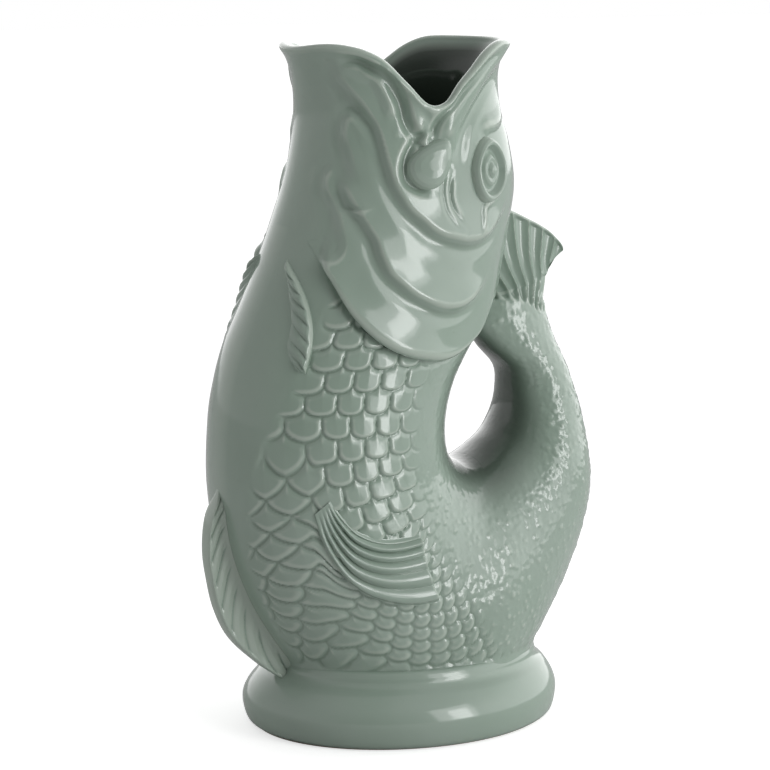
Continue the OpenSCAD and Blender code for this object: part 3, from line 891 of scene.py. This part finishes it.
# Each ridge, or groove where its height is negative: its line, width, height, and fade at its ends
RIDGES = (
    (LIP_FOLD, 3.4, -2.2, (0.25, 0.05)),
    (LIP_ROLL, 5.0, 1.8, (0.3, 0.08)),
    (CHEEK_CREST, 4.2, 1.3, (0.4, 0.2)),
    (UPPER_CREASE, 2.4, -1.3, (0.1, 0.4)),
    (UPPER_LIP, 5.0, 1.6, (0.3, 0.15)),
    (UPPER_FOLD, 4.0, -1.0, (0.4, 0.3)),
    (CHEEK_LINE, 3.0, -1.0, (0.2, 0.3)),
    (CHEEK_LINE, 1.6, 1.1, (0.2, 0.3)),
    (CHEEK_SECOND, 1.2, 0.6, (0.2, 0.3)),
    (BROW, 3.6, 1.4, (0.3, 0.5)),
    (UNDER_EYE, 1.6, 1.0, (0.2, 0.4)),
    (KNOB_FOLD, 2.6, -1.5, (0.2, 0.2)),
)


def gill_bands(angle, level, place):
    """Proud edge of the gill cover and of the bands above it."""
    above = level - gill(angle)
    f = fold(angle)
    fade = smooth((f - 33.0) / 9.0) * smooth((146.0 - f) / 16.0)
    lip = 3.0 * rounded((above + 0.1) / 2.4) * np.exp(-np.maximum(above - 3.0, 0) / 9.0)
    total = lip * fade
    for band in BANDS:
        total = total + ledge(*band, angle, place)
    return total


def face_lines(angle, level, place):
    """Lips, cheeks, brow and folds round the eye and the mouth's corner."""
    depth = rim(angle) - level
    total = 0.4 * np.exp(-((depth - 2.4) / 1.8) ** 2)
    for line in RIDGES:
        total += ridge(*line, angle, place)
    return total


HEAD_TURNS = turns(0.8, 1.6, 18.0, 10.0)
HEAD_BORE_RINGS = 34


def make_head():
    angle = HEAD_TURNS[None, :]
    low = gill(angle)
    high = rim(angle) - LIP_ROUND
    share = np.concatenate([[0.0, 0.001, 0.0025, 0.0045], np.linspace(0.0, 1.0, 160)[1:]])[:, None]
    level = low + (high - low) * share
    angles = np.broadcast_to(angle, level.shape)
    base = skin(trunk_station(level), fold(angles))
    marks = gill_bands(angles, level, base) + face_lines(angles, level, base)
    marks *= smooth((rim(angles) - level - 0.6) / 2.0)
    outer = head_skin(angles, level, marks)
    inner_share = (1 - np.linspace(1.0, 0.0, HEAD_BORE_RINGS) ** 1.3)[:, None]
    inner_angles = np.broadcast_to(angle, (HEAD_BORE_RINGS, angle.size))
    inner = head_bore(inner_angles, low + (high - low) * inner_share)
    crest = []
    for turn in np.linspace(0.0, math.pi, 11)[1:-1]:
        middle = (outer[-1] + inner[-1]) / 2
        ring = middle + (outer[-1] - middle) * math.cos(turn)
        ring[:, 2] += LIP_ROUND * math.sin(turn)
        crest.append(ring)
    rings = np.concatenate([outer, np.array(crest), inner[::-1]])
    # Painted shade inside the mouth, darker the deeper it lies below the rim.
    deep = smooth((rim(angle) - inner[::-1][..., 2] - 1.0) / 5.0)
    inside = np.concatenate([np.zeros(outer.shape[:2]), np.zeros((len(crest), angle.size)), deep])
    piece = closed_wall("head_skin", rings, {"outward": outward(rings), "inside": inside})
    finish_piece(piece, "head")


make_head()


# Tail
FLUTES = {"Ribs": 8.0, "Rib_height": 0.0017, "Sharpness": 0.7, "Fluted": 1.0}
# The flutes' sticks meet here, and they open from -33 degrees by 58 degrees
FAN_CENTRE = (50.7, 0.0, 129.0)
FAN_START = 33.0
FAN_SPREAD = 58.0
TAIL_BORE_RINGS = 14


def fan_flutes(points):
    """The tail fin's flutes spread like a fan's sticks. Each begins in a round end on the tail."""
    away = points - FAN_CENTRE
    across = (np.degrees(np.arctan2(away[..., 0], away[..., 2])) + FAN_START) / FAN_SPREAD
    reach = np.hypot(away[..., 0], away[..., 2])
    start = 19.5 + 13.0 * np.clip(0.7 - across, 0.0, 1.0)
    middle = np.abs(np.sin(np.pi * FLUTES["Ribs"] * across))
    return across, smooth((reach - start) / 2.6 + (middle - 1) * 0.7)


def make_tail():
    s, run = path_length(60.0, TAIL_ROOT, float(LAST_STATION))
    rows = np.interp(np.linspace(run[-1], 0.0, 195), run, s)
    angle = np.linspace(0.0, 360.0, 256, endpoint=False)
    angles = np.broadcast_to(angle, (len(rows), len(angle)))
    stations = np.broadcast_to(rows[:, None], angles.shape)
    outer = skin(stations, angles)
    hollow = np.linspace(TAIL_ROOT, TAIL_BORE_END, TAIL_BORE_RINGS)[:, None]
    inner_angles = np.broadcast_to(angle, (TAIL_BORE_RINGS, len(angle)))
    inner = skin(np.broadcast_to(hollow, inner_angles.shape), inner_angles, -WALL)
    across, flutes = fan_flutes(outer)
    flutes *= smooth((stations - 20.6) / 0.6)
    # Painted shade round the finger gap.
    shade = gap_shade(stations, fold(angles))
    grain = (1 - flutes) * grain_strength(stations, fold(angles)) * (1 - 0.8 * shade)
    marks = {"grain_cover": grain, "across": across, "cover": flutes, "inside": shade}
    marks = {key: np.concatenate([value, 0.0 * inner_angles]) for key, value in marks.items()}
    # The tail's bore is painted in full shade.
    marks["inside"][len(outer):] = 1.0
    marks["outward"] = np.concatenate([outward(outer), -outward(inner)])
    piece = capped_skin("tail_skin", np.concatenate([outer, inner]), marks)
    GRAIN.apply(piece, GLAZE)
    RIBS.apply(piece, GLAZE, **FLUTES)
    finish_piece(piece, "tail_handle")


make_tail()


def fin_edge_line(v):
    """The tail fin's free edge, from the head to its outer corner."""
    table = [[0.280, 0.726], [0.345, 0.707], [0.415, 0.683], [0.455, 0.660], [0.467, 0.645]]
    top = spline(table, 4 * v)
    return np.stack([top[..., 0] * FISH_LENGTH, 0 * v, FOOT_HEIGHT + top[..., 1] * RISE], -1)


def make_tail_fin():
    u = np.linspace(0.0, 1.0, 110)[:, None]
    v = np.linspace(0.0, 1.0, 200)[None, :]
    u, v = np.broadcast_arrays(u, v)
    end = float(LAST_STATION)
    place = mix(0.5 - 0.5 * np.cos(np.pi * v), v, smooth(u))
    start = mix(skin(end, 180.0), skin(end, 0.0), place[..., None])
    bow = 1 - 0.25 * np.sin(np.pi * u) * v
    corner = 1 - 0.05 * smooth((v - 0.88) / 0.12)
    middle = mix(start, fin_edge_line(v), (corner * u ** (1 / bow))[..., None])
    root = np.abs(skin(np.full(v.shape, end), 180 * (1 - v))[..., 1])
    edge = 2.9 * (0.06 + 0.94 * rounded(np.minimum(v, 1 - v) / 0.08))
    half = mix(root, edge, 0.6 * u + 0.4 * smooth(1.6 * u))
    half = half * np.sqrt(np.clip(1 - ((u - 0.95) / 0.05).clip(0, 1) ** 2 * 0.97, 0, 1))
    left = left_face(middle, half)
    across, deep = fan_flutes(left)
    deep = deep * smooth((0.985 - u) / 0.06)
    # At its root the fin's skin faces the way the tail's end does, in half degrees round it
    ring = np.linspace(0.0, 360.0, 720, endpoint=False)[None, :]
    tail_end = outward(skin(np.broadcast_to([[end], [end - 0.05]], (2, 720)), np.repeat(ring, 2, axis=0)))
    normal = tail_end[0][np.rint(360 * (1 - v)).astype(int)]
    normal = mix(normal, np.array([0.0, -1.0, 0.0]), smooth(u / 0.3)[..., None])
    piece = capped_skin("tail_fin_fan", both_sides(left, left * MIRROR, 1), {
        "outward": both_sides(normal, normal * MIRROR, 1),
        "across": both_sides(across, across, 1),
        "cover": both_sides(deep, deep, 1),
    })
    RIBS.apply(piece, GLAZE, **FLUTES)
    finish_piece(piece, "tail_fin")


make_tail_fin()


# Side fins
def make_side_fin(name, edges, node, mirrored, grid, lift_of, across_of, settings):
    """A fin that lies on the flank: its ribbed face, and a back buried in the wall."""
    rows, columns = grid
    u = np.linspace(0.0, 1.0, rows) ** 0.8
    u = np.sort(np.concatenate([u, [0.985, 0.993, 0.997]]))[:, None]
    v = np.linspace(0.0, 1.0, columns)[None, :]
    u, v = np.broadcast_arrays(u, v)
    upper_station, upper_angle = fin_line(edges[0], u)
    lower_station, lower_angle = fin_line(edges[1], u)
    station = mix(upper_station, lower_station, v)
    angle = mix(upper_angle, lower_angle, v)
    lift, cover = lift_of(u, v)
    face = skin(station, angle, lift)
    back = skin(station[:, ::columns - 1], angle[:, ::columns - 1], -BURY)[:, ::-1]
    normal = skin(station, angle, 1.0) - skin(station, angle, 0.0)
    normal /= np.linalg.norm(normal, axis=-1, keepdims=True)
    blank = np.zeros((len(u), 2))
    rings = np.concatenate([face, back], axis=1)
    marks = {
        "outward": np.concatenate([normal, np.zeros((len(u), 2, 3))], axis=1),
        "across": np.concatenate([across_of(u, v), blank], axis=1),
        "cover": np.concatenate([cover, blank], axis=1),
    }
    if mirrored:
        rings = rings * MIRROR
        marks["outward"] = marks["outward"] * MIRROR
    piece = capped_skin(name, rings, marks)
    RIBS.apply(piece, GLAZE, **settings)
    finish_piece(piece, node)


def pelvic_lift(u, v):
    """The pelvic fan rises towards its straight free edge."""
    upper = smooth(v / 0.14)
    lower = smooth((1 - v) / 0.08)
    tip = rounded((1 - u) / 0.035)
    held = upper * lower * tip
    return SIDE_FIN_RELIEF * (0.1 + 0.9 * smooth(u / 0.85)) * held - 0.4 * (1 - held), held * smooth(u / 0.35)


def pectoral_lift(u, v):
    """The pectoral leaf has a thick rear edge, and slopes down to the skin in front."""
    rear = rounded(v / 0.16)
    slope = (1 - smooth((v - 0.1) / 0.9)) ** 0.8
    ends = smooth(u / 0.12) * smooth((1 - u) / 0.1)
    held = rear * slope * ends
    return 2.9 * held - 0.3 * (1 - np.minimum(1, held * 4)), smooth(v / 0.25) * slope * ends


for hand, mirrored in (("left", False), ("right", True)):
    make_side_fin(
        "pelvic_fan_" + hand, (PELVIC_UPPER, PELVIC_LOWER), "pelvic_fin_" + hand, mirrored, (100, 170),
        pelvic_lift, lambda u, v: v ** 0.72, {"Ribs": 6.0, "Rib_height": 0.0018, "Sharpness": 0.95},
    )
    make_side_fin(
        "pectoral_leaf_" + hand, (PECTORAL_REAR, PECTORAL_FRONT), "pectoral_fin_" + hand, mirrored, (150, 60),
        pectoral_lift, lambda u, v: u + 0.28 * v, {"Ribs": 8.0, "Rib_height": 0.0012, "Sharpness": 0.8},
    )


# Belly fin
def make_belly_fin():
    t = np.linspace(0.0, 1.0, 220)[:, None]
    v = np.concatenate([np.linspace(0.0, 0.9, 34), np.linspace(0.9, 1.0, 9)[1:]])[None, :]
    t, v = np.broadcast_arrays(t, v)
    station = LAST_STATION * mix(0.474, 0.591, t)
    height = 11.9 * spline([0, 0.42, 0.67, 0.83, 0.98, 1, 0.72, 0.25], 7 * t)
    reach = mix(-BURY, height, v)
    point = skin(station, 0 * t, reach)
    fillet = 2.6 * np.exp(-np.maximum(reach, 0) / 1.5)
    half = mix(2.5, 3.3, smooth((v - 0.25) / 0.6)) + 0.7 * fillet * smooth(t / 0.1) * smooth((1 - t) / 0.05)
    half = half * (0.35 + 0.65 * smooth(t / 0.12)) * (0.5 + 0.5 * rounded((1 - t) / 0.06))
    half = half * mix(0.3, 1.0, rounded((1 - v) / 0.07))
    left = left_face(point, half)
    normal = 0 * left + (0, -1, 0)
    deep = smooth((v - 0.25) / 0.2) * smooth((0.95 - v) / 0.1) * smooth(t / 0.06) * smooth((1 - t) / 0.05)
    slant = t - 0.26 * v
    piece = capped_skin("belly_fin_blade", both_sides(left, left * MIRROR), {
        "outward": both_sides(normal, normal * MIRROR),
        "across": both_sides(slant, slant),
        "cover": both_sides(deep, deep),
    })
    RIBS.apply(piece, GLAZE, Ribs=9.0, Rib_height=0.0009, Sharpness=0.6, Ray_height=0.00012)
    # Painted light: the belly fin's glaze is given the lighter tint all over.
    finish_piece(piece, "belly_fin", painted_light=1.0)


make_belly_fin()


# Eyes and knobs at the corners of the mouth
BOSS_ROWS = 60
BOSS_COLUMNS = 100


def boss(name, place, size, relief, profile, node, mirrored, lean, narrow=0.0, power=2.0):
    """A raised oval: rings round a centre on the skin, and two buried rings behind them."""
    station, angle = place
    width, length = size
    reach = np.concatenate([[0.4, 1.0], np.linspace(1.0, 0.03, BOSS_ROWS)])[:, None]
    turn = -2 * np.pi * np.arange(BOSS_COLUMNS)[None, :] / BOSS_COLUMNS
    round_by = (np.abs(np.cos(turn)) ** power + np.abs(np.sin(turn)) ** power) ** (-1 / power)
    q = spline(STATIONS, station)
    arc = math.hypot((q[2] - q[0]) / 2 * math.sin(math.radians(angle)), q[4] * math.cos(math.radians(angle)))
    flat_side = width / 2 * reach * np.cos(turn) * round_by * (1 - narrow * np.sin(turn))
    flat_up = length / 2 * reach * np.sin(turn) * round_by
    tilt = math.radians(lean)
    side = flat_side * math.cos(tilt) + flat_up * math.sin(tilt)
    up = flat_up * math.cos(tilt) - flat_side * math.sin(tilt)
    shares = np.array(profile)[::-1]
    lift = relief * np.interp(reach, shares[:, 0], shares[:, 1]) + 0 * turn
    lift = np.where(np.arange(BOSS_ROWS + 2)[:, None] < 2, -BURY, lift - 1.2 * (reach > 0.99))
    rings = skin(station - up / TRUNK_STEP, angle + np.degrees(side / arc), lift)
    if mirrored:
        rings = rings * MIRROR
    # Painted light: the eye rings and mouth knobs are given a little of the lighter tint.
    finish_piece(capped_skin(name, rings), node, passes=5, painted_light=0.3)


# Share of the relief at shares of the way out from the centre
EYE_PROFILE = [
    [1, 0], [0.96, 0.5], [0.9, 0.85], [0.83, 1.0], [0.76, 0.9], [0.69, 0.5], [0.63, 0.2], [0.57, 0.14],
    [0.5, 0.26], [0.43, 0.5], [0.36, 0.62], [0.29, 0.56], [0.25, 0.5], [0.21, 0.66], [0.12, 0.9], [0, 0.98],
]
KNOB_PROFILE = [[1, 0], [0.95, 0.36], [0.87, 0.6], [0.75, 0.79], [0.55, 0.93], [0.28, 0.99], [0, 1]]
for hand, mirrored in (("left", False), ("right", True)):
    boss(
        "eye_ring_" + hand, (trunk_station(204.6), 114.0), (17.5, 24.0), 3.1, EYE_PROFILE, "eye_" + hand,
        mirrored, lean=6.0, power=1.75,
    )
    boss(
        "mouth_knob_" + hand, (trunk_station(208.6), 80.2), (14.0, 20.5), 4.4, KNOB_PROFILE,
        "mouth_corner_" + hand, mirrored, lean=40.0, narrow=0.42,
    )


# Foot
def make_foot():
    neck_long = 0.330 * FISH_LENGTH
    neck_side = 0.494 * BELLY_WIDTH
    shift = 0.013 * FISH_LENGTH
    turn = np.radians(np.linspace(0.0, 360.0, 240, endpoint=False))

    def oval(long, side, level, move=0.0):
        return np.stack([move - long * np.cos(turn), -side * np.sin(turn), np.full(turn.shape, level)], -1)

    bed_long = neck_long + FOOT_SPREAD_LONG - FOOT_EDGE
    bed_side = neck_side + FOOT_SPREAD_SIDE - FOOT_EDGE
    edge = (FOOT_SPREAD_LONG - FOOT_EDGE) / FOOT_SPREAD_LONG
    outline = [
        [edge, 0.0], [0.87, 0.10], [1.00, 0.38], [0.88, 0.58], [0.55, 0.78], [0.27, 0.88], [0.15, 0.95],
        [0.10, 1.02], [-0.02, 1.10], [-0.25, 1.11],
    ]
    rings = [oval(bed_long * k, bed_side * k, 0.0) for k in (0.05, 0.4, 0.8, 0.97, 1.0)]
    for u in np.linspace(0.0, len(outline) - 1, 96)[1:]:
        spread, level = spline(outline, u)
        rings.append(oval(
            neck_long + spread * FOOT_SPREAD_LONG, neck_side + spread * FOOT_SPREAD_SIDE,
            level * FOOT_HEIGHT, shift * (1 - spread),
        ))
    seat = 2 * WALL
    hollow = (
        (seat * 0.6, FOOT_HEIGHT),
        (seat, FOOT_HEIGHT),
        (seat, (FOOT_HEIGHT + FOOT_FLOOR) / 2),
        (1.3 * seat, 0.25 * FOOT_HEIGHT + 0.75 * FOOT_FLOOR),
        (2 * seat, FOOT_FLOOR),
    )
    for inset, level in hollow:
        rings.append(oval(neck_long - inset, neck_side - inset, level, shift))
    finish_piece(capped_skin("foot_oval", np.array(rings)), "foot", passes=5)


make_foot()


# Floor, light and camera
def grey(level):
    return (level, level, level, 1.0)


def make_floor():
    """A wide floor that is white to the camera, and dimmer in the glaze's reflections."""
    mesh = bpy.data.meshes.new("floor")
    mesh.from_pydata([(-6, -6, 0), (6, -6, 0), (6, 6, 0), (-6, 6, 0)], [], [(0, 1, 2, 3)])
    material = bpy.data.materials.new("white_sweep")
    wire = blank_tree(material)
    seen = wire.node("ShaderNodeLightPath")
    shaded = wire.node("ShaderNodeBsdfDiffuse", None, {"Color": grey(0.80)})
    glow = wire.node("ShaderNodeEmission", None, {"Color": grey(1.0), "Strength": 0.62})
    dim = wire.node("ShaderNodeBsdfDiffuse", None, {"Color": grey(0.68)})
    lit = wire.node("ShaderNodeAddShader", None, {0: shaded, 1: glow})
    wire.node("ShaderNodeMixShader", None, {0: seen, 1: dim, 2: lit}).end("ShaderNodeOutputMaterial")
    mesh.materials.append(material)
    place_object("floor", mesh)


make_floor()


def direction(azimuth, elevation):
    a = math.radians(azimuth)
    e = math.radians(elevation)
    return Vector((math.sin(a) * math.cos(e), -math.cos(a) * math.cos(e), math.sin(e)))


AIM = Vector((-0.00645, 0.0, 0.12431))


def face_jug(item, azimuth, elevation, distance):
    """Sets a lamp or the camera round the jug, so that it looks at the jug's middle."""
    toward = direction(azimuth, elevation)
    item.location = AIM + toward * distance
    item.rotation_mode = "QUATERNION"
    item.rotation_quaternion = toward.to_track_quat("Z", "Y")


def make_softbox(name, azimuth, elevation, distance, width, height, power):
    lamp = bpy.data.lights.new(name, "AREA")
    lamp.shape = "RECTANGLE"
    lamp.size = width
    lamp.size_y = height
    lamp.energy = power
    lamp.color = (1.0, 1.0, 1.0)
    face_jug(place_object(name, lamp), azimuth, elevation, distance)


make_softbox("window_softbox", 21.0, 15.0, 1.2, 0.56, 0.90, 3.1)
make_softbox("window_core", 24.0, 11.0, 1.15, 0.26, 0.60, 1.7)
BACKGROUND_LIGHT = 0.11
OVERHEAD_LIGHT = 0.42


def make_surroundings():
    """A plain studio: light on the jug's right, grey on its left, and white to the camera."""
    world = bpy.data.worlds.new("studio")
    bpy.context.scene.world = world
    wire = blank_tree(world)
    facing = wire.node("ShaderNodeTexCoord", output=0)
    sides = []
    for azimuth, low, high, strength in ((105.0, -0.35, 0.75, 1.6), (-125.0, 0.2, 1.0, 0.54)):
        toward = tuple(direction(azimuth, 0.0))
        side = wire.node("ShaderNodeVectorMath", {"operation": "DOT_PRODUCT"}, {0: facing, 1: toward}, 1)
        sides.append(side.between(low, high) * strength)
    height = wire.node("ShaderNodeSeparateXYZ", None, {0: facing}, 2)
    overhead = height.between(0.35, 0.95)
    tone = overhead.blend(sides[0] + sides[1] + BACKGROUND_LIGHT, OVERHEAD_LIGHT)
    seen = wire.node("ShaderNodeLightPath")
    glow = wire.node("ShaderNodeBackground", None, {"Color": grey(1.0), "Strength": seen.blend(tone, 1.0)})
    glow.end("ShaderNodeOutputWorld")


make_surroundings()


CAMERA_AZIMUTH = -29.89
CAMERA_ELEVATION = 9.5
CAMERA_DISTANCE = 1.02075
CAMERA_LENS = 130.5


def make_camera():
    data = bpy.data.cameras.new("camera")
    data.sensor_width = 36.0
    data.sensor_fit = "HORIZONTAL"
    data.lens = CAMERA_LENS
    data.clip_start = 0.05
    data.clip_end = 50.0
    camera = place_object("camera", data)
    face_jug(camera, CAMERA_AZIMUTH, CAMERA_ELEVATION, CAMERA_DISTANCE)
    bpy.context.scene.camera = camera


make_camera()
bpy.context.scene.view_settings.view_transform = "Standard"
